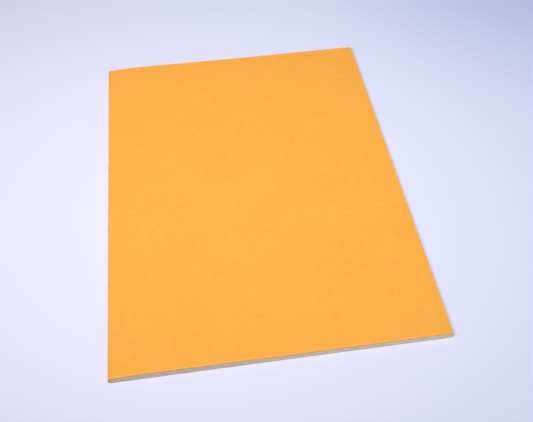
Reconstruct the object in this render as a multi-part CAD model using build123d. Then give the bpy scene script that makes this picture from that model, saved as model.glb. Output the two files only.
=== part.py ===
from build123d import *

import math
import os

# A stapled A4 exercise book lying closed on its back cover.
#
# +X runs from the spine to the fore-edge, +Y from the tail to the head, +Z up.
# The origin is on the table, under the centre of the book.
# One folded card cover wraps sixteen folded sheets, and four wire staples hold them through the fold.
# Every fold is a half ring about one common line, the fold axis, where the clinched staple legs lie.
# A leaf starts a crease's width beyond that line, so that it can turn about it beside the staples.

# Driving dimensions, in millimetres.
BOOK_WIDTH = 210.0  # spine to fore-edge
BOOK_HEIGHT = 297.0  # tail to head
SHEET_COUNT = 16  # folded sheets, two leaves each
PAPER = 0.09  # thickness of a leaf
CARD = 0.25  # thickness of the cover
LEAF_GAP = 0.006  # air between neighbours where the stack is tightest

WIRE = 0.45  # diameter of the staple wire
WIRE_SIDES = 12  # flat sides that stand for the round of the wire
CROWN = 13.0  # spacing of a staple's two legs
CLINCH_GAP = 2.0  # between a staple's two clinched tips
END_MARGIN = 38.5  # from an end of the spine to the middle of the nearest staple
INNER_SPACING = 62.0  # between the two staples nearest the middle
CROWN_SINK = 0.12  # how far a crown is pressed into the card
BEND_CUT = 0.15  # cut off the corners of the wire's path, so that each bend is two mitres

CLINCH_FIT = 0.025  # air between the clinched wire and the innermost fold
CROWN_FIT = 0.01  # air between the crown and the groove that it presses
SLIT_FIT = 0.04  # air round a leg where it pierces the folds
CREASE_FIT = 0.075  # air between a leg and the leaves when the book lies open

SWELL = 1.05  # how far the springy folds raise the front cover
SWELL_CREST = 25.0  # from the crease to the crest of the swell
LOFT = 0.64  # air between all the leaves, which lie loosely on each other
LOFT_RUN = 22.0  # run over which they spread to it
CLOSING_RUN = 10.0  # run over which the two centre leaves come together
FACETS = 10  # flat facets across a curved leaf

# Places that follow from the driving dimensions.
LEAF_PITCH = PAPER + LEAF_GAP
CENTRE_RADIUS = WIRE / 2 + CLINCH_FIT
COVER_RADIUS = CENTRE_RADIUS + SHEET_COUNT * LEAF_PITCH
SPINE_RADIUS = COVER_RADIUS + CARD
STACK_COUNT = 2 * SHEET_COUNT + 1

AXIS_X = -BOOK_WIDTH / 2 + SPINE_RADIUS
AXIS_Z = SPINE_RADIUS
LEAF_START = AXIS_X + WIRE / 2 + CREASE_FIT
LEAF_RUN = BOOK_WIDTH / 2 - LEAF_START
GROOVE_X = AXIS_X - SPINE_RADIUS + CROWN_SINK
CROWN_X = GROOVE_X - CROWN_FIT - WIRE / 2
SLIT = WIRE + 2 * SLIT_FIT
STAPLE_CENTRES = {
    "tail": END_MARGIN - BOOK_HEIGHT / 2,
    "lower": -INNER_SPACING / 2,
    "upper": INNER_SPACING / 2,
    "head": BOOK_HEIGHT / 2 - END_MARGIN,
}


def rise(run):
    """How far the stack has risen at a run from the crease: a swell that dies away, and the air in it."""
    reach = run / SWELL_CREST
    return SWELL * reach * math.exp(1 - reach) + LOFT * (1 - math.exp(-run / LOFT_RUN))


def closing(run):
    """How far the front half has come down by a run from the crease, as the two centre leaves close."""
    return (2 * CENTRE_RADIUS - LEAF_GAP) * (1 - math.exp(-run / CLOSING_RUN))


def along_spine(outline):
    """Carries a cross-section, drawn in X and Z, over the whole height of the book."""
    return extrude(Plane.XZ * make_face(outline), amount=BOOK_HEIGHT / 2, both=True)


def flat_cover():
    """The back half of the cover, flat on the table."""
    return along_spine(Pos(LEAF_START + LEAF_RUN / 2, CARD / 2) * Rectangle(LEAF_RUN, CARD).wire())


def curved_leaf(crease_z, place, thickness, in_front):
    """A leaf, or the front half of the cover, as one sheet that follows the rise of the stack.

    crease_z is its lower face at the crease, and place its count up the stack from the back cover.
    Its facets are narrowest near the crease, where the stack bends most.
    """
    lower = []
    for facet in range(FACETS + 1):
        run = LEAF_RUN * (facet / FACETS) ** 2
        lift = place / STACK_COUNT * rise(run)
        drop = closing(run) if in_front else 0.0
        lower.append((LEAF_START + run, crease_z + lift - drop))
    upper = [(x, z + thickness) for x, z in reversed(lower)]
    return along_spine(Polyline(*lower, *upper, close=True))


def fold(inner_radius, thickness):
    """The half ring that joins two leaves round the fold axis, pierced by the staple legs."""
    outer_radius = inner_radius + thickness
    inner_low, inner_high = AXIS_Z - inner_radius, AXIS_Z + inner_radius
    outer_low, outer_high = AXIS_Z - outer_radius, AXIS_Z + outer_radius
    outline = [
        Line((LEAF_START, outer_low), (AXIS_X, outer_low)),
        ThreePointArc((AXIS_X, outer_low), (AXIS_X - outer_radius, AXIS_Z), (AXIS_X, outer_high)),
        Polyline((AXIS_X, outer_high), (LEAF_START, outer_high), (LEAF_START, inner_high), (AXIS_X, inner_high)),
        ThreePointArc((AXIS_X, inner_high), (AXIS_X - inner_radius, AXIS_Z), (AXIS_X, inner_low)),
        Polyline((AXIS_X, inner_low), (LEAF_START, inner_low), (LEAF_START, outer_low)),
    ]
    return along_spine(outline) - leg_slits()


def leg_slits():
    """The small square holes that the staple legs pierce on their way to the fold axis."""
    slit = Box(AXIS_X - CROWN_X, SLIT, SLIT, align=(Align.MAX, Align.CENTER, Align.CENTER))
    return [
        Pos(AXIS_X, centre + leg, AXIS_Z) * slit
        for centre in STAPLE_CENTRES.values()
        for leg in (-CROWN / 2, CROWN / 2)
    ]


def crown_grooves():
    """The shallow grooves that the staple crowns press into the outside of the spine."""
    groove = Box(WIRE, CROWN + SLIT, SLIT, align=(Align.MAX, Align.CENTER, Align.CENTER))
    return [Pos(GROOVE_X, centre, AXIS_Z) * groove for centre in STAPLE_CENTRES.values()]


def staple(centre):
    """A wire staple: its crown outside the spine, its legs through the fold, clinched along the axis."""
    leg = CROWN / 2
    half = [
        (AXIS_X, CLINCH_GAP / 2),
        (AXIS_X, leg - BEND_CUT),
        (AXIS_X - BEND_CUT, leg),
        (CROWN_X + BEND_CUT, leg),
        (CROWN_X, leg - BEND_CUT),
    ]
    corners = half + [(x, -y) for x, y in reversed(half)]
    path = Polyline(*[(x, centre + y, AXIS_Z) for x, y in corners])
    section = Plane(origin=path @ 0, z_dir=path % 0) * RegularPolygon(WIRE / 2, WIRE_SIDES)
    return sweep(section, path=path, transition=Transition.RIGHT)


def sheet_pieces(sheet):
    """The two leaves and the fold of one folded sheet; sheet 1 is the outermost."""
    radius = CENTRE_RADIUS + (SHEET_COUNT - sheet) * LEAF_PITCH
    return {
        "back_leaf": curved_leaf(AXIS_Z - radius - PAPER, sheet, PAPER, in_front=False),
        "fold": fold(radius, PAPER),
        "front_leaf": curved_leaf(AXIS_Z + radius, STACK_COUNT - sheet, PAPER, in_front=True),
    }


pieces = {
    "back_cover": flat_cover(),
    "cover_spine": fold(COVER_RADIUS, CARD) - crown_grooves(),
    "front_cover": curved_leaf(AXIS_Z + COVER_RADIUS, STACK_COUNT, CARD, in_front=True),
}
for end, centre in STAPLE_CENTRES.items():
    pieces[f"{end}_staple"] = staple(centre)
for sheet in range(1, SHEET_COUNT + 1):
    for piece_name, solid in sheet_pieces(sheet).items():
        pieces[f"sheet_{sheet:02d}_{piece_name}"] = solid

os.makedirs("parts", exist_ok=True)
for node, solid in pieces.items():
    export_step(solid, f"parts/{node}.step")
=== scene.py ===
"""Looks of a stapled exercise book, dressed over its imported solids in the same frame.

+X runs from the spine to the fore-edge, +Y from the tail to the head, and +Z up.
Sizes are in millimetres until a mesh is made.
"""

from __future__ import annotations

import logging
import math
from abc import ABC, abstractmethod
from dataclasses import dataclass, field
from enum import Enum

import bpy
import numpy as np
from mathutils import Matrix, Vector


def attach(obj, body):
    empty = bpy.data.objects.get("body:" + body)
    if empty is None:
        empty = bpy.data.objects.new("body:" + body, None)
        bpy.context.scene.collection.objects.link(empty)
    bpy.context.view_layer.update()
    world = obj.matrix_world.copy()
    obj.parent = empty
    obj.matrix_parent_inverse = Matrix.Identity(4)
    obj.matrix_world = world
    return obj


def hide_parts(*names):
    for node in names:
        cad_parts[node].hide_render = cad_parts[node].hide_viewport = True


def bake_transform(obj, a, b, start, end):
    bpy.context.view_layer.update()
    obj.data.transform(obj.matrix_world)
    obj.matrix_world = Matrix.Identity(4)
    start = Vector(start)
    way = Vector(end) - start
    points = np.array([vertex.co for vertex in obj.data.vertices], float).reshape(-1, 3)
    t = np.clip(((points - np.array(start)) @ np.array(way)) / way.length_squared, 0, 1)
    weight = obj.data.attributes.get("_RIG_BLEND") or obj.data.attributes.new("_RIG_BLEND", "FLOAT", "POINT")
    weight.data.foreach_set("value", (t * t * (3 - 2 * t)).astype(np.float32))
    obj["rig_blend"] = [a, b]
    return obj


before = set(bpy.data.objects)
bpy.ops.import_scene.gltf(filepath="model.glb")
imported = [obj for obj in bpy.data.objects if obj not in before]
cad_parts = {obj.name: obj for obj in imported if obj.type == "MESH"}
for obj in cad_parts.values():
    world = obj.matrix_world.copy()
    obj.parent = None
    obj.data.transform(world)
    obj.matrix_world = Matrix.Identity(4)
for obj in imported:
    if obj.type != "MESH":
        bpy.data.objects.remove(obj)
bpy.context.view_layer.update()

LOG = logging.getLogger("exercise_book")
MM = 0.001
FLAT_MAP = "flat_mm"
SHARE_MAP = "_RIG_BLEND"
TRIM_SEED = 7
TRIM_MM = (0.02, 0.09)  # least and greatest amount by which a sheet is cut shorter than the cover
MIX_SHARE, MIX_FIRST, MIX_SECOND, MIX_COLOUR = 0, 6, 7, 2  # sockets of a Mix node for colours

Colour = tuple[float, float, float]
Lengths = tuple[float, float, float]
Span = tuple[float, float]


class Side(Enum):
    """Half of a folded piece: under the fold axis, or over it."""

    BACK = -1
    FRONT = 1


class Stitch(Enum):
    """Place of a staple, as the Y of its middle in millimetres."""

    TAIL = -110.0
    LOWER = -31.0
    UPPER = 31.0
    HEAD = 110.0


@dataclass(frozen=True)
class Flow:
    """What one shader socket gives, with arithmetic on values.

    Attributes:
        graph: The node tree that the socket is in.
        socket: The output socket, or None for a node that ends the tree.
    """

    graph: Graph
    socket: bpy.types.NodeSocket | None

    def __add__(self, other: Flow | float) -> Flow:
        """This value plus another."""
        return self.graph.maths("ADD", self, other)

    def __radd__(self, other: float) -> Flow:
        """A number plus this value."""
        return self.graph.maths("ADD", other, self)

    def __sub__(self, other: Flow | float) -> Flow:
        """This value less another."""
        return self.graph.maths("SUBTRACT", self, other)

    def __rsub__(self, other: float) -> Flow:
        """A number less this value."""
        return self.graph.maths("SUBTRACT", other, self)

    def __mul__(self, other: Flow | float) -> Flow:
        """This value times another."""
        return self.graph.maths("MULTIPLY", self, other)

    def __rmul__(self, other: float) -> Flow:
        """A number times this value."""
        return self.graph.maths("MULTIPLY", other, self)

    def __abs__(self) -> Flow:
        """This value without its sign."""
        return self.graph.maths("ABSOLUTE", self)

    def least(self, other: Flow | float) -> Flow:
        """The smaller of this value and another."""
        return self.graph.maths("MINIMUM", self, other)

    def between(self, low: float, high: float) -> Flow:
        """A value that is low where this one is 0 and high where it is 1."""
        return low + self * (high - low)

    def blend(self, other: Flow, share: float) -> Flow:
        """This value and another, which has the given share."""
        return self * (1.0 - share) + other * share

    def rise(self, low: float, high: float) -> Flow:
        """Smooth step of this value, from 0 at low and under it to 1 at high and over it."""
        limits = {"Value": self, "From Min": low, "From Max": high}
        return self.graph.node("MapRange", {"interpolation_type": "SMOOTHSTEP"}, limits)


@dataclass(frozen=True)
class Grain:
    """One cloudy noise of a finish.

    Attributes:
        size: Rough size of its features in millimetres, alike or by direction.
        detail: Count of finer octaves in it.
        warp: How far it is twisted by its own gradient.
        turn: Turn of the stretched direction, in degrees.
        cut: Where in the noise it starts to show and where it is full, or None for the noise itself.
    """

    size: float | Lengths
    detail: float = 2.0
    warp: float = 0.0
    turn: float = 0.0
    cut: Span | None = None


class Graph:
    """The node tree of a material or of the world."""

    def __init__(self, owner: bpy.types.Material | bpy.types.World) -> None:
        """Starts an empty node tree.

        Args:
            owner: The new material or world that it belongs to.
        """
        owner.use_nodes = True
        self.owner = owner
        self.tree = owner.node_tree
        self.tree.nodes.clear()

    def node(
        self,
        kind: str,
        settings: dict[str, object] | None = None,
        inputs: dict[str | int, object] | None = None,
        output: str | int = 0,
    ) -> Flow:
        """Adds a node, with its settings first and then its sockets.

        Args:
            kind: The node's type, without the part that all shader nodes share.
            settings: Its own settings by name.
            inputs: Values or links of its sockets, by name or number.
            output: The socket that is wanted from it.

        Returns:
            What that socket gives.
        """
        made = self.tree.nodes.new("ShaderNode" + kind)
        for key, value in (settings or {}).items():
            setattr(made, key, value)
        for key, value in (inputs or {}).items():
            if isinstance(value, Flow):
                self.tree.links.new(value.socket, made.inputs[key])
            else:
                made.inputs[key].default_value = value
        return Flow(self, made.outputs[output] if len(made.outputs) else None)

    def maths(self, operation: str, *values: Flow | float) -> Flow:
        """Result of a Math node on one or two values."""
        return self.node("Math", {"operation": operation}, dict(enumerate(values)))

    def mix(self, share: Flow | float, first: Flow | Colour, second: Flow | Colour) -> Flow:
        """Mixes two colours.

        Args:
            share: Share of the second colour.
            first: Colour at share 0.
            second: Colour at share 1.

        Returns:
            The mixed colour.
        """
        ends = [c if isinstance(c, Flow) else (*c, 1.0) for c in (first, second)]
        inputs = {MIX_SHARE: share, MIX_FIRST: ends[0], MIX_SECOND: ends[1]}
        return self.node("Mix", {"data_type": "RGBA"}, inputs, MIX_COLOUR)

    def flat(self) -> Flow:
        """Place on the flat sheet, in millimetres, from the piece's own map."""
        return self.node("UVMap", {"uv_map": FLAT_MAP})

    def solid(self) -> Flow:
        """Place in the book, in millimetres."""
        place = self.node("TexCoord", output="Object")
        return self.node("Mapping", {"vector_type": "TEXTURE"}, {"Vector": place, "Scale": (MM, MM, MM)})

    def parts(self, place: Flow) -> tuple[Flow, Flow, Flow]:
        """The three components of a place."""
        split = self.node("SeparateXYZ", None, {"Vector": place}).socket.node
        return tuple(Flow(self, socket) for socket in split.outputs)

    def noise(self, place: Flow, grain: Grain) -> Flow:
        """Cloudy noise about 0.5, or its cut from 0 to 1.

        Args:
            place: Where it is read, in millimetres.
            grain: What it is like.

        Returns:
            The noise.
        """
        lengths = grain.size if isinstance(grain.size, tuple) else (grain.size, grain.size, grain.size)
        spread = {"Vector": place, "Rotation": (0.0, 0.0, math.radians(grain.turn)), "Scale": lengths}
        scaled = self.node("Mapping", {"vector_type": "TEXTURE"}, spread)
        look = {"Vector": scaled, "Scale": 1.0, "Detail": grain.detail, "Distortion": grain.warp}
        cloud = self.node("TexNoise", None, look)
        return cloud.rise(*grain.cut) if grain.cut else cloud

    def relief(self, height: Flow, depth_mm: float) -> Flow:
        """Normal of a surface with a fine relief, whose height from 0 to 1 stands for that depth."""
        return self.node("Bump", None, {"Strength": 1.0, "Distance": depth_mm * MM, "Height": height})

    def seen(self) -> Flow:
        """1 for what the camera and glossy surfaces see, and 0 for light that falls on other surfaces."""
        return self.node("LightPath", output="Is Camera Ray") + self.node("LightPath", output="Is Glossy Ray")

    def surface(self, pale: tuple[Flow, Colour] | None = None, **inputs: object) -> bpy.types.Material:
        """Closes the tree with one shader.

        Args:
            pale: Share of the surface that only shows a colour, whatever light is on it, and that colour.
            **inputs: Values or links of the shader's sockets, with _ for a space in a name.

        Returns:
            The finished material.
        """
        named = {key.replace("_", " "): value for key, value in inputs.items()}
        shader = self.node("BsdfPrincipled", None, named)
        if pale:
            share, colour = pale
            plain = self.node("Emission", None, {"Color": (*colour, 1.0)})
            shader = self.node("MixShader", None, dict(enumerate((share, shader, plain))))
        self.node("OutputMaterial", None, {"Surface": shader})
        return self.owner


@dataclass(frozen=True)
class BookSizes:
    """Sizes that the pieces share, in millimetres, the same as those of the solids.

    Attributes:
        width: Spine to fore-edge.
        height: Tail to head.
        sheets: Count of folded sheets.
        paper: Thickness of a leaf.
        card: Thickness of the cover.
        leaf_gap: Air between neighbours at the fold.
        wire: Diameter of the staple wire.
        crown: Spacing of a staple's legs.
        pinch: Share of its radius by which the spine is drawn in under a staple's crown.
        pinch_fade: Run along the spine over which it comes out again.
        clinch_fit: Air between the clinched wire and the innermost fold.
        crown_fit: Air between a crown and the spine.
        crease_fit: Air between a leg and the leaves when the book lies open.
        swell: How far the springy folds raise the front cover.
        swell_crest: From the crease to the crest of the swell.
        loft: Air between all the leaves, which lie loosely on each other.
        loft_run: Run over which they spread to it.
        closing_run: Run over which the two centre leaves come together.
    """

    width: float = 210.0
    height: float = 297.0
    sheets: int = 16
    paper: float = 0.09
    card: float = 0.25
    leaf_gap: float = 0.006
    wire: float = 0.45
    crown: float = 13.0
    pinch: float = 0.125
    pinch_fade: float = 3.5
    clinch_fit: float = 0.025
    crown_fit: float = 0.01
    crease_fit: float = 0.075
    swell: float = 1.05
    swell_crest: float = 25.0
    loft: float = 0.64
    loft_run: float = 22.0
    closing_run: float = 10.0

    @property
    def centre_radius(self) -> float:
        """Radius inside the innermost fold."""
        return self.wire / 2 + self.clinch_fit

    @property
    def cover_radius(self) -> float:
        """Radius inside the cover's fold."""
        return self.fold_radius(0)

    @property
    def spine_radius(self) -> float:
        """Radius outside the cover's fold, which is also the height of the fold axis."""
        return self.cover_radius + self.card

    @property
    def axis_x(self) -> float:
        """Place of the fold axis across the book."""
        return self.spine_radius - self.width / 2

    @property
    def crease(self) -> float:
        """Run of flat crease between the fold axis and the start of a leaf."""
        return self.wire / 2 + self.crease_fit

    @property
    def leaf_run(self) -> float:
        """Run of a leaf from its start to the fore-edge."""
        return self.width / 2 - self.axis_x - self.crease

    @property
    def half_wrap(self) -> float:
        """Run of the cover from the middle of the spine to the start of a half."""
        return math.pi / 2 * (self.cover_radius + self.card / 2) + self.crease

    @property
    def stack(self) -> int:
        """Count of places up the closed stack, from the back cover at 0."""
        return 2 * self.sheets + 1

    def fold_radius(self, sheet: int) -> float:
        """Radius inside a sheet's fold: sheet 1 is the outermost, and 0 stands for the cover."""
        return self.centre_radius + (self.sheets - sheet) * (self.paper + self.leaf_gap)


@dataclass(frozen=True)
class CardFinish:
    """Matt card dyed through: slow clouds of pulp, flecks of fibre, a fine tooth and rubbed edges.

    Attributes:
        rub_mm: Width of the rubbed edges.
        edge_rub: Share of the rubbed colour at an edge.
        spine_rub: Share of the rubbed colour on the spine.
        rough: Roughness at the foot of the tooth and at its top.
        spine_polish: How much smoother the rubbed spine is.
        fibre_relief: Share of the fibres in the relief.
    """

    name: str = "orange_card"
    pale: Colour = (1.0, 0.5, 0.098)
    deep: Colour = (1.0, 0.368, 0.02)
    rubbed: Colour = (1.0, 0.6, 0.2)
    cloud: Grain = Grain(34.0, detail=3.0)
    cloud_share: float = 0.3
    pulp: Grain = Grain(4.0, detail=3.0, warp=0.4)
    pulp_share: float = 0.62
    pale_fibre: Grain = Grain((2.6, 0.2, 1.0), warp=0.7, turn=24.0, cut=(0.6, 0.75))
    deep_fibre: Grain = Grain((2.6, 0.2, 1.0), warp=0.7, turn=-61.0, cut=(0.62, 0.77))
    fibre_share: float = 0.2
    tooth: Grain = Grain(0.17)
    tooth_share: float = 0.3
    patches: Grain = Grain(9.0, detail=3.0, cut=(0.35, 0.7))
    rub_mm: float = 1.3
    edge_rub: float = 0.3
    spine_rub: float = 0.16
    rough: Span = (0.84, 0.72)
    spine_polish: float = 0.08
    sheen: float = 0.3
    fibre_relief: float = 0.3
    relief_mm: float = 0.012

    def material(self, sizes: BookSizes) -> bpy.types.Material:
        """Makes the card, whose tone is the sum of its clouds, pulp and fibres about the middle.

        Args:
            sizes: Sizes of the book, whose outline and spine are rubbed a little paler.

        Returns:
            The material.
        """
        graph = Graph(bpy.data.materials.new(self.name))
        flat = graph.flat()
        cloud = graph.noise(flat, self.cloud) - 0.5
        pulp = graph.noise(flat, self.pulp) - 0.5
        tooth = graph.noise(flat, self.tooth)
        fibre = graph.noise(flat, self.pale_fibre) - graph.noise(flat, self.deep_fibre)
        tone = 0.5 + cloud * self.cloud_share + pulp * self.pulp_share
        tone = tone + fibre * self.fibre_share + (tooth - 0.5) * self.tooth_share
        across, down, _ = graph.parts(flat)
        reach = abs(across)
        inward = (sizes.half_wrap + sizes.leaf_run - reach).least(down).least(sizes.height - down)
        patches = graph.noise(flat, self.patches)
        at_edge = (1.0 - inward.rise(0.0, self.rub_mm)) * patches
        at_spine = (1.0 - reach.rise(sizes.half_wrap / 2, sizes.half_wrap + self.rub_mm)) * patches
        card = graph.mix(tone, self.deep, self.pale)
        return graph.surface(
            Base_Color=graph.mix(at_edge * self.edge_rub + at_spine * self.spine_rub, card, self.rubbed),
            Roughness=tooth.between(*self.rough) - at_spine * self.spine_polish,
            Specular_IOR_Level=self.sheen,
            Normal=graph.relief(tooth.blend(fibre, self.fibre_relief), self.relief_mm),
        )


@dataclass(frozen=True)
class CutFinish:
    """A guillotined edge: open fibre, drawn out along the cut.

    Attributes:
        streak: Streaks along the cut, about as thin as a leaf.
        grain_share: Share of the fine grain in the fibre's tone.
        painted_light: Share of the tone that comes from how far the edge is from the spine, as painted light:
            paler towards the fore-edge and darker towards the spine.
        painted_light_run: Across the book, where that painted shade is deepest and where the painted light is
            full.
        rough: Roughness at the foot of the grain and at its top.
    """

    name: str
    pale: Colour
    deep: Colour
    streak: Grain = Grain((2.4, 2.4, 0.06), detail=3.0, cut=(0.25, 0.75))
    grain: Grain = Grain(0.12)
    grain_share: float = 0.3
    painted_light: float = 0.0
    painted_light_run: Span = (-80.0, 190.0)
    rough: Span = (0.95, 0.85)
    sheen: float = 0.2
    relief_mm: float = 0.01

    def material(self) -> bpy.types.Material:
        """Makes the edge, whose tone differs from layer to layer and a little along each, and grows paler
        towards the fore-edge by the share of painted light.
        """
        graph = Graph(bpy.data.materials.new(self.name))
        solid = graph.solid()
        grain = graph.noise(solid, self.grain)
        fibre = graph.noise(solid, self.streak).blend(grain, self.grain_share)
        across, _, _ = graph.parts(solid)
        # Painted light across the book: the edge is paler towards the fore-edge and darker towards the spine.
        tone = fibre.blend(across.rise(*self.painted_light_run), self.painted_light)
        return graph.surface(
            Base_Color=graph.mix(tone, self.deep, self.pale),
            Roughness=grain.between(*self.rough),
            Specular_IOR_Level=self.sheen,
            Normal=graph.relief(grain, self.relief_mm),
        )


@dataclass(frozen=True)
class PageFinish:
    """Uncoated white paper with feint lines and a margin, as in any school book.

    Attributes:
        pitch: Spacing of the lines.
        head: From the head of the page to the first line.
        foot: Left free below the last line.
        margin: From the left edge of the page to the margin line.
        line_mm: Width of a printed line.
        line_edge: From its middle, where a line's ink is full and where it ends, as shares of its width.
        rule_end: Run over which the ruling starts and ends.
        ink: Least and greatest strength of the ink.
        rough: Roughness at the foot of the tooth and at its top.
        fibre_relief: Share of the fibres in the relief.
    """

    name: str = "ruled_page"
    pale: Colour = (0.87, 0.86, 0.83)
    deep: Colour = (0.79, 0.78, 0.745)
    feint: Colour = (0.33, 0.5, 0.72)
    red: Colour = (0.78, 0.26, 0.3)
    pitch: float = 8.0
    head: float = 33.0
    foot: float = 14.0
    margin: float = 25.0
    line_mm: float = 0.24
    line_edge: Span = (0.35, 0.65)
    rule_end: float = 0.1
    press: Grain = Grain(1.1, detail=3.0)
    ink: Span = (0.55, 0.9)
    pulp: Grain = Grain(3.0, detail=4.0)
    pulp_share: float = 0.6
    tooth: Grain = Grain(0.14)
    tooth_share: float = 0.2
    fibre: Grain = Grain((1.8, 0.12, 1.0), warp=0.8, turn=38.0, cut=(0.58, 0.76))
    fibre_share: float = 0.2
    rough: Span = (0.9, 0.8)
    sheen: float = 0.25
    fibre_relief: float = 0.3
    relief_mm: float = 0.006

    def printed(self, distance: Flow) -> Flow:
        """Ink of a printed line, from the distance to its middle."""
        full, end = self.line_edge
        return 1.0 - distance.rise(self.line_mm * full, self.line_mm * end)

    def material(self, sizes: BookSizes) -> bpy.types.Material:
        """Makes the page: paper of pulp and tooth, then lines by distance from the nearest row.

        Args:
            sizes: Sizes of the book, whose height bounds the lines.

        Returns:
            The material.
        """
        graph = Graph(bpy.data.materials.new(self.name))
        flat = graph.flat()
        pulp = graph.noise(flat, self.pulp)
        tooth = graph.noise(flat, self.tooth)
        fibre = graph.noise(flat, self.fibre)
        tone = pulp * self.pulp_share + tooth * self.tooth_share + fibre * self.fibre_share
        paper = graph.mix(tone, self.deep, self.pale)
        across, down, _ = graph.parts(flat)
        row = graph.maths("FRACT", (down - self.head) * (1.0 / self.pitch) + 0.5)
        first, last = self.head - self.pitch / 4, sizes.height - self.foot
        within = down.rise(first, first + self.rule_end) * (1.0 - down.rise(last, last + self.rule_end))
        press = graph.noise(flat, self.press).between(*self.ink)
        lines = self.printed(abs(row - 0.5) * self.pitch) * within * press
        border = self.printed(abs(across - self.margin)) * press
        ruled = graph.mix(lines, paper, self.feint)
        return graph.surface(
            Base_Color=graph.mix(border, ruled, self.red),
            Roughness=tooth.between(*self.rough),
            Specular_IOR_Level=self.sheen,
            Normal=graph.relief(tooth.blend(fibre, self.fibre_relief), self.relief_mm),
        )


@dataclass(frozen=True)
class WireFinish:
    """Galvanised steel wire, drawn: fine streaks along it and dull patches of zinc.

    Attributes:
        streak_share: Share of the streaks in the tone, which the zinc has the rest of.
        rough: Roughness between the streaks and on them.
        dull_rough: How much rougher the dull zinc is.
    """

    name: str = "galvanised_wire"
    bright: Colour = (0.86, 0.86, 0.87)
    dull: Colour = (0.66, 0.67, 0.69)
    streak: Grain = Grain((1.6, 0.05, 1.0), detail=3.0)
    streak_share: float = 0.3
    zinc: Grain = Grain(0.5, detail=3.0, cut=(0.35, 0.7))
    rough: Span = (0.3, 0.46)
    dull_rough: float = 0.14
    relief_mm: float = 0.004

    def material(self) -> bpy.types.Material:
        """Makes the wire, streaked along its length on its own map."""
        graph = Graph(bpy.data.materials.new(self.name))
        flat = graph.flat()
        streak = graph.noise(flat, self.streak)
        zinc = graph.noise(flat, self.zinc)
        return graph.surface(
            Base_Color=graph.mix(zinc.blend(streak, self.streak_share), self.dull, self.bright),
            Metallic=1.0,
            Roughness=streak.between(*self.rough) + (1.0 - zinc) * self.dull_rough,
            Normal=graph.relief(streak, self.relief_mm),
        )


@dataclass(frozen=True)
class FloorFinish:
    """A plain pale table top with a bluish cast, with painted warm light at one side and painted shade
    towards one far corner.

    Attributes:
        warm_light_place: Middle of the painted warm light, in millimetres.
        warm_light_run: From that middle, where the painted warm light is full and where the floor has its own
            colour.
        corner_shade_place: Middle of the painted shade in the far corner.
        corner_shade_run: From that middle, where the painted shade is darkest and where it ends.
        far: Colour that the floor takes on far from the book, where the lamp does not reach.
        near_middle: Middle of the part that keeps its own colour, across and along the book.
        near_shape: Extent of that part along the book, as a share of its extent across.
        far_run: From that middle, across, where the far colour starts and where nothing else is left.
        rough: Roughness at the foot of the tooth and at its top.
    """

    name: str = "pale_floor"
    colour: Colour = (0.7, 0.755, 1.0)
    # Painted warm light: the floor's colour in the middle of a pool of light that is painted on.
    warm_light: Colour = (0.84, 0.835, 1.0)
    warm_light_place: Lengths = (-255.0, -50.0, 0.0)
    warm_light_run: Span = (150.0, 850.0)
    # Painted shade: the floor's colour in the middle of the darkened far corner.
    corner_shade: Colour = (0.61, 0.665, 0.92)
    corner_shade_place: Lengths = (305.0, 255.0, 0.0)
    corner_shade_run: Span = (0.0, 255.0)
    far: Colour = (0.73, 0.75, 0.86)
    near_middle: Span = (-37.0, 40.0)
    near_shape: float = 0.75
    far_run: Span = (395.0, 580.0)
    tooth: Grain = Grain(1.5, detail=3.0)
    rough: Span = (0.7, 0.8)
    sheen: float = 0.25

    def material(self) -> bpy.types.Material:
        """Makes the floor, whose colour changes smoothly with the distance from those places, to paint warm
        light and corner shade.
        """
        graph = Graph(bpy.data.materials.new(self.name))
        solid = graph.solid()
        spots = ((self.warm_light_place, self.warm_light_run), (self.corner_shade_place, self.corner_shade_run))
        # Masks by distance: cool is 0 in the painted warm light, clear is 0 in the painted corner shade.
        beyond_warm_light, clear = (
            graph.node("VectorMath", {"operation": "DISTANCE"}, {0: solid, 1: place}, "Value").rise(*run)
            for place, run in spots
        )
        across, along, _ = graph.parts(solid)
        beside = across - self.near_middle[0]
        beyond = (along - self.near_middle[1]) * (1.0 / self.near_shape)
        far = graph.maths("SQRT", beside * beside + beyond * beyond).rise(*self.far_run)
        return graph.surface(
            (far * graph.seen(), self.far),
            Base_Color=graph.mix(clear, self.corner_shade, graph.mix(beyond_warm_light, self.warm_light, self.colour)),
            Roughness=graph.noise(solid, self.tooth).between(*self.rough),
            Specular_IOR_Level=self.sheen,
        )


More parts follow.
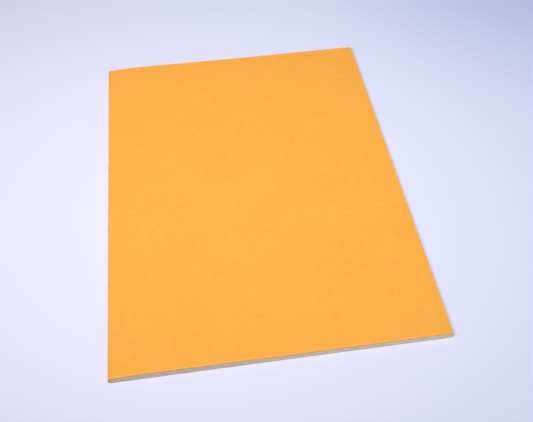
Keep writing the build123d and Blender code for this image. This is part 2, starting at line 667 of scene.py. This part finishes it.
@dataclass(kw_only=True)
class ThinForm(ABC):
    """A thin closed form: two faces on a grid of run and height, and a rim that joins them.

    Attributes:
        sizes: Sizes of the book.
        thickness: Thickness of the paper or card.
        bevel: Width of the softened edge between a face and the rim, or 0.
        trim: How much shorter it is cut at the head, the tail and the fore-edge.
        rows: Count of stops along the height.
    """

    sizes: BookSizes
    thickness: float
    bevel: float = 0.0
    trim: float = 0.0
    rows: int = 5

    @abstractmethod
    def runs(self, inset: float) -> np.ndarray:
        """Stops of the grid along the run, drawn in at the edges that are free."""

    @abstractmethod
    def place(self, run: np.ndarray, along: np.ndarray, level: float) -> np.ndarray:
        """Points at a run and height, from the lower face at level 0 to the upper face at level 1."""

    @abstractmethod
    def chart(self, run: np.ndarray, along: np.ndarray, over: bool) -> np.ndarray:
        """Place of those points on the flat sheet, for the upper face or the lower one."""

    def stops(self) -> np.ndarray:
        """Stops of the grid along the height, from -1 at the tail to 1 at the head."""
        return np.linspace(-1.0, 1.0, self.rows)

    def charted(self, across: np.ndarray, along: np.ndarray) -> np.ndarray:
        """Flat places from a run across the sheet and the distance from the head."""
        return np.stack([across, self.sizes.height / 2 - along], -1)

    def grid(self, level: float, inset: float) -> tuple[np.ndarray, np.ndarray]:
        """Points and flat places of the whole grid.

        Args:
            level: From the lower face at 0 to the upper face at 1.
            inset: How far the free edges are drawn in.

        Returns:
            Points as N x 3 and flat places as N x 2, in millimetres.
        """
        half = self.sizes.height / 2 - self.trim - inset
        run, along = np.meshgrid(self.runs(inset), half * self.stops(), indexing="ij")
        points = self.place(run, along, level).reshape(-1, 3)
        return points, self.chart(run, along, level > 0.5).reshape(-1, 2)

    def build(self, name: str, face: bpy.types.Material, cut: bpy.types.Material) -> bpy.types.Object:
        """Makes the piece.

        The faces are the grids at levels 0 and 1. Strips round the outline join them, by way of two rings
        at the outline itself where there is a bevel. Each strip joins a ring's points to the next ring's.

        Args:
            name: Name of the piece.
            face: Material of the two faces.
            cut: Material of the rim.

        Returns:
            The object, at the origin.
        """
        count, rows = len(self.runs(0.0)), len(self.stops())
        index = np.arange(count * rows).reshape(count, rows)
        outline = np.concatenate([index[:-1, 0], index[-1, :-1], index[:0:-1, -1], index[0, :0:-1]])
        low, high = self.grid(0.0, self.bevel), self.grid(1.0, self.bevel)
        share = self.bevel / self.thickness
        rings = [self.grid(level, 0.0) for level in (share, 1.0 - share)] if self.bevel else []
        layers = [low, *[(points[outline], flat[outline]) for points, flat in rings], high]
        points = np.concatenate([layer[0] for layer in layers])
        flat = np.concatenate([layer[1] for layer in layers])
        steps = len(outline) * np.arange(len(rings)) + index.size
        loops = [outline, *[np.arange(len(outline)) + step for step in steps]]
        top = len(points) - index.size
        loops.append(outline + top)
        quads = grid_quads(index)
        strips = [
            np.stack([a, np.roll(a, -1), np.roll(b, -1), b], -1) for a, b in zip(loops[:-1], loops[1:])
        ]
        faces = np.concatenate([quads[:, ::-1], quads + top, *strips])
        piece = make_piece(name, points, faces.tolist(), flat)
        rim = np.arange(len(faces)) >= 2 * len(quads)
        piece.data.materials.append(face)
        piece.data.materials.append(cut)
        piece.data.polygons.foreach_set("material_index", rim.astype(np.int32))
        soften(piece)
        return piece


@dataclass(kw_only=True)
class Leaf(ThinForm):
    """One leaf of a sheet, which follows the swell of the closed stack.

    Attributes:
        side: The half of the sheet that it is.
        crease_z: Height of its lower face at the crease.
        rank: Its count up the stack from the back cover.
        steps: Count of stops along the run.
    """

    side: Side
    crease_z: float
    rank: int
    steps: int = 44

    def runs(self, inset: float) -> np.ndarray:
        """Stops that crowd towards the crease, where the stack bends most: the square of even steps."""
        return (self.sizes.leaf_run - self.trim - inset) * np.linspace(0.0, 1.0, self.steps) ** 2

    def place(self, run: np.ndarray, along: np.ndarray, level: float) -> np.ndarray:
        """Height is the crease's, plus a rise in proportion to the rank.

        The rise is a swell, reach times e to the power of 1 less reach, where reach is the run over the
        crest's run, plus the air between loose leaves, by an exponential approach. In the front half the leaf
        also comes down in that way, as the two centre leaves close.
        """
        sizes = self.sizes
        reach = run / sizes.swell_crest
        rise = sizes.swell * reach * np.exp(1.0 - reach) + sizes.loft * (1.0 - np.exp(-run / sizes.loft_run))
        height = self.crease_z + self.rank / sizes.stack * rise
        if self.side is Side.FRONT:
            height -= (2 * sizes.centre_radius - sizes.leaf_gap) * (1.0 - np.exp(-run / sizes.closing_run))
        start = sizes.axis_x + sizes.crease
        return np.stack([start + run, along, height + level * self.thickness], -1)

    def chart(self, run: np.ndarray, along: np.ndarray, over: bool) -> np.ndarray:
        """Distance from the left edge of the page, which is the fold or the fore-edge, and from its head."""
        return self.charted(run if over else self.sizes.leaf_run - run, along)


@dataclass(kw_only=True)
class CoverHalf(Leaf):
    """One half of the cover: a leaf of card, charted from the middle of the spine."""

    def chart(self, run: np.ndarray, along: np.ndarray, over: bool) -> np.ndarray:
        """Run round the cover from the middle of the spine, below 0 on the back, and from the head."""
        return self.charted(self.side.value * (self.sizes.half_wrap + run), along)


@dataclass(kw_only=True)
class Fold(ThinForm):
    """The half ring that joins the two halves of a folded piece round the fold axis.

    Attributes:
        radius: Radius inside the ring.
        arc_steps: Count of stops round the ring.
        stitch_steps: Count of stops along the spine across each staple.
    """

    radius: float
    arc_steps: int = 25
    stitch_steps: int = 15

    @property
    def arc(self) -> float:
        """Run of the half ring, at the middle of its thickness."""
        return math.pi * (self.radius + self.thickness / 2)

    def runs(self, inset: float) -> np.ndarray:
        """Stops round the ring at even turns, with the two ends of the flat creases."""
        turns = self.sizes.crease + self.arc * np.linspace(0.0, 1.0, self.arc_steps)
        return np.concatenate([[0.0], turns, [2 * self.sizes.crease + self.arc]])

    def stops(self) -> np.ndarray:
        """Stops at both ends and across each staple, where the fold is drawn in."""
        reach = self.sizes.crown / 2 + self.sizes.pinch_fade
        across = [stitch.value + np.linspace(-reach, reach, self.stitch_steps) for stitch in Stitch]
        return np.concatenate([[-1.0], *[2.0 * spread / self.sizes.height for spread in across], [1.0]])

    def pinched(self, radius: float, turn: np.ndarray, along: np.ndarray) -> np.ndarray:
        """Radius of a fold where the staples draw it in.

        The draw is full under a crown and fades along the spine by a smooth step, and round the fold as the
        fourth power of the sine. It falls with the cube of the radius, so that nested folds never cross.

        Args:
            radius: Radius where nothing draws it in.
            turn: Angle round the fold, from 0 at the back half to pi at the front half.
            along: Place along the spine.

        Returns:
            The radius at each of those places.
        """
        sizes = self.sizes
        nearest = np.min([np.abs(along - stitch.value) for stitch in Stitch], axis=0)
        near = 1.0 - np.clip((nearest - sizes.crown / 2) / sizes.pinch_fade, 0.0, 1.0)
        draw = sizes.pinch * near**2 * (3.0 - 2.0 * near) * np.sin(turn) ** 4
        return radius * (1.0 - draw * (radius / sizes.spine_radius) ** 2)

    def place(self, run: np.ndarray, along: np.ndarray, level: float) -> np.ndarray:
        """Flat from the back half to the axis, round a half turn, and flat again to the front half."""
        sizes = self.sizes
        turn = math.pi * np.clip((run - sizes.crease) / self.arc, 0.0, 1.0)
        flat = np.maximum(sizes.crease - run, 0.0) + np.maximum(run - sizes.crease - self.arc, 0.0)
        radius = self.pinched(self.radius + level * self.thickness, turn, along)
        across = sizes.axis_x - radius * np.sin(turn) + flat
        return np.stack([across, along, sizes.spine_radius - radius * np.cos(turn)], -1)

    def chart(self, run: np.ndarray, along: np.ndarray, over: bool) -> np.ndarray:
        """Run from the middle of the fold, below 0 on the back, and distance from the head."""
        return self.charted(run - self.sizes.crease - self.arc / 2, along)

    def bend(self, piece: bpy.types.Object, back: str, front: str) -> None:
        """Lets the fold turn between the bodies of its two halves.

        A point's share of the turn is its angle round the fold over a half turn. The fold then stays part of
        a ring at every pose, and nested folds stay apart.

        Args:
            piece: The fold's piece.
            back: Body of the back half.
            front: Body of the front half.
        """
        axis = np.array([self.sizes.axis_x, 0.0, self.sizes.spine_radius])
        low, high = (Vector(axis + [0.0, 0.0, reach]) * MM for reach in (-self.radius, self.radius))
        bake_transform(piece, back, front, start=low, end=high)
        points = np.empty(3 * len(piece.data.vertices))
        piece.data.vertices.foreach_get("co", points)
        across, _, up = (points.reshape(-1, 3) / MM - axis).T
        share = np.abs(np.arctan2(np.maximum(-across, 0.0), -up)) / math.pi
        piece.data.attributes[SHARE_MAP].data.foreach_set("value", share.astype(np.float32))


def grid_quads(index: np.ndarray) -> np.ndarray:
    """Faces of a grid, from the number of each point, turned from the first direction to the second."""
    return np.stack([index[:-1, :-1], index[1:, :-1], index[1:, 1:], index[:-1, 1:]], -1).reshape(-1, 4)


def make_piece(name: str, points: np.ndarray, faces: list[list[int]], flat: np.ndarray) -> bpy.types.Object:
    """Puts a surface into a mesh.

    Args:
        name: Name of the piece.
        points: Its points in millimetres, N x 3.
        faces: The points of each face, in order, as seen from outside.
        flat: Flat place of each point in millimetres, N x 2.

    Returns:
        The linked object, at the origin, with its map.
    """
    mesh = bpy.data.meshes.new(name)
    mesh.from_pydata((points * MM).tolist(), [], faces)
    corners = np.empty(len(mesh.loops), np.int32)
    mesh.loops.foreach_get("vertex_index", corners)
    layer = mesh.uv_layers.new(name=FLAT_MAP)
    layer.data.foreach_set("uv", flat[corners].astype(np.float32).ravel())
    piece = bpy.data.objects.new(name, mesh)
    bpy.context.scene.collection.objects.link(piece)
    return piece


def soften(piece: bpy.types.Object, angle: float = 32.0) -> None:
    """Shades a piece smoothly, but for edges that turn more sharply than an angle in degrees."""
    piece.data.polygons.foreach_set("use_smooth", np.ones(len(piece.data.polygons), bool))
    piece.data.set_sharp_from_angle(angle=math.radians(angle))


def settle(piece: bpy.types.Object, node: str, body: str | None = None) -> None:
    """Says which solid a piece stands for and which body it rides on.

    Args:
        piece: The piece.
        node: The solid that it replaces.
        body: The body that it rides on, or None for a piece that bends between two.
    """
    if body:
        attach(piece, body)
    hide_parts(node)
    LOG.info("%s stands for %s", piece.name, node)


@dataclass
class Cover:
    """The folded card cover: back half, spine and front half.

    Attributes:
        sizes: Sizes of the book.
        bevel: Width of the softened edge of the card.
    """

    sizes: BookSizes
    bevel: float = 0.03
    slot: str = "cover_card"
    pieces: dict[str, bpy.types.Object] = field(default_factory=dict)

    def build(self, face: bpy.types.Material, cut: bpy.types.Material) -> None:
        """Makes the three pieces of the cover.

        Args:
            face: The card.
            cut: The card's cut edge, darkened as painted shade.
        """
        sizes = self.sizes
        common = {"sizes": sizes, "thickness": sizes.card, "bevel": self.bevel}
        back = CoverHalf(side=Side.BACK, crease_z=0.0, rank=0, **common)
        front_z = sizes.spine_radius + sizes.cover_radius
        front = CoverHalf(side=Side.FRONT, crease_z=front_z, rank=sizes.stack, **common)
        spine = Fold(radius=sizes.cover_radius, **common)
        self.pieces["back_cover"] = back.build("back_card", face, cut)
        self.pieces["front_cover"] = front.build("front_card", face, cut)
        self.pieces["cover_spine"] = spine.build("spine_card", face, cut)
        spine.bend(self.pieces["cover_spine"], "back_cover", "front_cover")

    def dress(self) -> None:
        """Sets each piece on its body in place of its solid."""
        for node, piece in self.pieces.items():
            settle(piece, node, None if node == "cover_spine" else node)


@dataclass
class FoldedSheet:
    """One folded sheet: back leaf, fold and front leaf.

    Attributes:
        sizes: Sizes of the book.
        number: Its count from the outside.
        trim: How much shorter than the cover it is cut.
    """

    sizes: BookSizes
    number: int
    trim: float
    slot: str = "page_paper"
    pieces: dict[str, bpy.types.Object] = field(default_factory=dict)

    @property
    def name(self) -> str:
        """Name of the sheet, as in the names of its solids."""
        return f"sheet_{self.number:02d}"

    def build(self, face: bpy.types.Material, cut: bpy.types.Material, fold_cut_painted_bounce: bpy.types.Material) -> None:
        """Makes the three pieces of the sheet.

        Args:
            face: The ruled page.
            cut: The paper's cut edge, whose warm tint is partly painted orange light thrown back from the
                card.
            fold_cut_painted_bounce: The cut edge at the fold, in a darker orange-brown that paints the card's
                orange bounce light and the shade inside its wrap.
        """
        sizes, radius = self.sizes, self.sizes.fold_radius(self.number)
        common = {"sizes": sizes, "thickness": sizes.paper, "trim": self.trim}
        back_z = sizes.spine_radius - radius - sizes.paper
        back = Leaf(side=Side.BACK, crease_z=back_z, rank=self.number, **common)
        front_z = sizes.spine_radius + radius
        front = Leaf(side=Side.FRONT, crease_z=front_z, rank=sizes.stack - self.number, **common)
        fold = Fold(radius=radius, **common)
        self.pieces["back"] = back.build(f"{self.name}_back_page", face, cut)
        self.pieces["front"] = front.build(f"{self.name}_front_page", face, cut)
        self.pieces["fold"] = fold.build(f"{self.name}_page_fold", face, fold_cut_painted_bounce)
        fold.bend(self.pieces["fold"], f"{self.name}_back", f"{self.name}_front")

    def dress(self) -> None:
        """Sets each piece on its body in place of its solid."""
        settle(self.pieces["fold"], f"{self.name}_fold")
        for side in ("back", "front"):
            settle(self.pieces[side], f"{self.name}_{side}_leaf", f"{self.name}_{side}")


@dataclass
class Staple:
    """A wire staple, its crown outside the spine and its legs clinched along the fold axis.

    Attributes:
        sizes: Sizes of the book.
        stitch: Its place along the spine.
        clinch_gap: Between the two tips.
        bend: Radius of the bends, at the middle of the wire.
        tip: Run over which each tip is drawn flat.
        tip_flat: Thickness left at the end of a tip, as a share of the wire's.
        tip_curve: Power of the way along a tip by which it grows from there.
        tip_steps: Count of stops along a tip.
        bend_steps: Count of stops round a bend.
        sides: Facets round the wire.
    """

    sizes: BookSizes
    stitch: Stitch
    clinch_gap: float = 2.0
    bend: float = 0.3
    tip: float = 0.45
    tip_flat: float = 0.4
    tip_curve: float = 0.6
    tip_steps: int = 5
    bend_steps: int = 9
    sides: int = 14
    slot: str = "staple_wire"
    piece: bpy.types.Object | None = None

    @property
    def node(self) -> str:
        """Name of the staple's solid."""
        return f"{self.stitch.name.lower()}_staple"

    def path(self) -> np.ndarray:
        """Line of the wire: straight runs and quarter turns from tip to tip, the second half a mirror image.

        Returns:
            Points in X and Y about the middle of the staple, N x 2.
        """
        sizes, leg = self.sizes, self.sizes.crown / 2
        seat = sizes.spine_radius * (1.0 - sizes.pinch)
        crown_x = sizes.axis_x - seat - sizes.crown_fit - sizes.wire / 2
        quarter = np.linspace(0.0, math.pi / 2, self.bend_steps)
        turn = self.bend * np.stack([np.cos(quarter), np.sin(quarter)], -1)
        inner = turn + [sizes.axis_x - self.bend, leg - self.bend]
        outer = turn[::-1] * [-1.0, 1.0] + [crown_x + self.bend, leg - self.bend]
        tip = self.clinch_gap / 2 + np.linspace(0.0, self.tip, self.tip_steps)
        start = np.stack([np.full_like(tip, sizes.axis_x), tip], -1)
        half = np.concatenate([start, inner, outer])
        return np.concatenate([half, half[::-1] * [1.0, -1.0]])

    def build(self, face: bpy.types.Material) -> None:
        """Carries a round section along the wire's line, drawn flat towards each cut tip.

        Args:
            face: The wire's finish.
        """
        line = self.path()
        along = np.gradient(line, axis=0)
        along /= np.linalg.norm(along, axis=1, keepdims=True)
        across = np.stack([-along[:, 1], along[:, 0]], -1)
        gone = np.concatenate([[0.0], np.cumsum(np.linalg.norm(np.diff(line, axis=0), axis=1))])
        to_tip = np.minimum(gone, gone[-1] - gone)
        grown = np.clip(to_tip / self.tip, 0.0, 1.0) ** self.tip_curve
        chisel = self.tip_flat + (1.0 - self.tip_flat) * grown
        turn = np.linspace(0.0, 2 * math.pi, self.sides, endpoint=False)
        radius = self.sizes.wire / 2
        flat_part = line[:, None] + radius * (across * chisel[:, None])[:, None] * np.cos(turn)[None, :, None]
        rise = np.broadcast_to(radius * np.sin(turn), flat_part.shape[:2])
        points = np.concatenate([flat_part, (self.sizes.spine_radius + rise)[..., None]], -1)
        points[..., 1] += self.stitch.value
        index = np.arange(points[..., 0].size).reshape(len(line), self.sides)
        onward = np.roll(index, -1, axis=1)
        walls = np.stack([index[:-1], onward[:-1], onward[1:], index[1:]], -1).reshape(-1, 4)
        faces = [*walls.tolist(), index[0, ::-1].tolist(), index[-1].tolist()]
        flat = np.stack(np.broadcast_arrays(gone[:, None], radius * turn[None, :]), -1)
        self.piece = make_piece(f"{self.node}_wire", points.reshape(-1, 3), faces, flat.reshape(-1, 2))
        self.piece.data.materials.append(face)
        soften(self.piece)

    def dress(self) -> None:
        """Sets the wire on the spine in place of its solid."""
        settle(self.piece, self.node, "spine")


@dataclass(frozen=True)
class Studio:
    """The pale floor, the soft light and the camera.

    Attributes:
        eye: Place of the camera, in millimetres.
        yaw: Turn of the view from +Y towards +X, in degrees.
        pitch: Dip of the view below the horizon.
        roll: Turn of the picture about the view.
        lens: Focal length in millimetres.
        sensor: Width of the sensor in millimetres.
        shift: Shift of the picture across, as a share of its width.
        clip: Nearest and farthest that the camera sees, in metres.
        floor_drop: How far the floor is below the book.
        floor_reach: From the book to each side of the floor.
        floor_steps: Count of stops along each side of the floor.
        key_place: Place of the lamp, in millimetres.
        key_aim: Place that the lamp faces.
        key_size: Width of the lamp, in metres.
        key_spread: Angle that its light keeps within, in degrees.
        key_watts: Power of the lamp.
        room: Colour of the pale room that the camera and metal see.
        fill: Share of it that falls on things as light from all round.
    """

    eye: Lengths = (-34.4, -380.98, 395.45)
    yaw: float = 7.25
    pitch: float = 48.02
    roll: float = -1.294
    lens: float = 50.538
    sensor: float = 36.0
    shift: float = -0.01154
    clip: Span = (0.01, 50.0)
    floor_drop: float = 0.12
    floor_reach: float = 3000.0
    floor_steps: int = 9
    key_place: Lengths = (-100.0, -230.0, 650.0)
    key_aim: Lengths = (480.0, 1560.0, 0.0)
    key_size: float = 0.6
    key_spread: float = 172.0
    key_watts: float = 6.45
    room: Colour = (0.73, 0.75, 0.86)
    fill: float = 0.29

    def build(self, floor: bpy.types.Material) -> None:
        """Makes the floor, the lights and the camera.

        Args:
            floor: The floor's finish.
        """
        self.lay_floor(floor)
        self.light()
        self.look()

    def lay_floor(self, finish: bpy.types.Material) -> None:
        """Lays the floor just under the book, as a stage."""
        edge = np.linspace(-self.floor_reach, self.floor_reach, self.floor_steps)
        across, along = np.meshgrid(edge, edge, indexing="ij")
        points = np.stack([across, along, np.full_like(across, -self.floor_drop)], -1).reshape(-1, 3)
        quads = grid_quads(np.arange(across.size).reshape(across.shape))
        floor = make_piece("floor", points, quads.tolist(), points[:, :2])
        floor.data.materials.append(finish)

    def light(self) -> None:
        """Hangs one wide soft lamp over the tail, turned far past the head, and fills in from all round."""
        lamp = bpy.data.lights.new("window", "AREA")
        lamp.shape = "DISK"
        lamp.size = self.key_size
        lamp.spread = math.radians(self.key_spread)
        lamp.energy = self.key_watts
        hung = bpy.data.objects.new("window", lamp)
        place, aim = Vector(self.key_place) * MM, Vector(self.key_aim) * MM
        hung.location = place
        hung.rotation_euler = (aim - place).to_track_quat("-Z", "Y").to_euler()
        hung.visible_camera = False
        bpy.context.scene.collection.objects.link(hung)
        world = Graph(bpy.data.worlds.new("soft_room"))
        room = {"Color": (*self.room, 1.0), "Strength": self.fill + world.seen() * (1.0 - self.fill)}
        world.node("OutputWorld", None, {"Surface": world.node("Background", None, room)})
        bpy.context.scene.world = world.owner

    def look(self) -> None:
        """Sets the camera, whose view dips by the pitch from a level line at the yaw and then rolls."""
        yaw, pitch, roll = (math.radians(angle) for angle in (self.yaw, self.pitch, self.roll))
        level = math.cos(pitch)
        ahead = Vector((math.sin(yaw) * level, math.cos(yaw) * level, -math.sin(pitch)))
        right = ahead.cross(Vector((0.0, 0.0, 1.0))).normalized()
        up = right.cross(ahead)
        turned = math.cos(roll) * right + math.sin(roll) * up
        raised = math.cos(roll) * up - math.sin(roll) * right
        camera = bpy.data.cameras.new("camera")
        camera.sensor_width = self.sensor
        camera.lens = self.lens
        camera.shift_x = self.shift
        camera.clip_start, camera.clip_end = self.clip
        eye = bpy.data.objects.new("camera", camera)
        facing = Matrix((turned, raised, -ahead)).transposed().to_4x4()
        eye.matrix_world = Matrix.Translation(Vector(self.eye) * MM) @ facing
        bpy.context.scene.collection.objects.link(eye)
        bpy.context.scene.camera = eye
        bpy.context.scene.view_settings.view_transform = "Standard"


def main() -> None:
    """Builds the book and its stage, and reports each piece."""
    logging.basicConfig(level=logging.INFO, format="%(message)s")
    sizes = BookSizes()
    Studio().build(FloorFinish().material())
    # The card's cut edge: its own darker orange-brown, deepened further as painted shade for the dark line
    # under the book.
    card_edge_painted_shade = CutFinish("card_edge_painted_shade", pale=(0.58, 0.2, 0.05), deep=(0.4, 0.11, 0.025))
    # Page edges: a warm tan, partly the paper's own colour and partly painted orange light thrown back from
    # the card, paler towards the fore-edge as painted light.
    page_edge_painted_light = CutFinish("page_edge_painted_light", pale=(0.97, 0.89, 0.59), deep=(0.59, 0.443, 0.309), painted_light=0.6)
    # Cut edges of the folds: a darker orange-brown, painted orange bounce light from the card's wrap and
    # painted shade inside it.
    fold_edge_painted_bounce = CutFinish("fold_edge_painted_bounce", pale=(0.66, 0.43, 0.22), deep=(0.48, 0.28, 0.11))
    cover = Cover(sizes)
    cover.build(CardFinish().material(sizes), card_edge_painted_shade.material())
    cover.dress()
    page = PageFinish().material(sizes)
    edges = page_edge_painted_light.material(), fold_edge_painted_bounce.material()
    trims = np.random.default_rng(TRIM_SEED).uniform(*TRIM_MM, sizes.sheets)
    for number, trim in enumerate(trims.tolist(), 1):
        sheet = FoldedSheet(sizes, number, trim)
        sheet.build(page, *edges)
        sheet.dress()
    wire = WireFinish().material()
    for stitch in Stitch:
        staple = Staple(sizes, stitch)
        staple.build(wire)
        staple.dress()


if __name__ == "__main__":
    main()
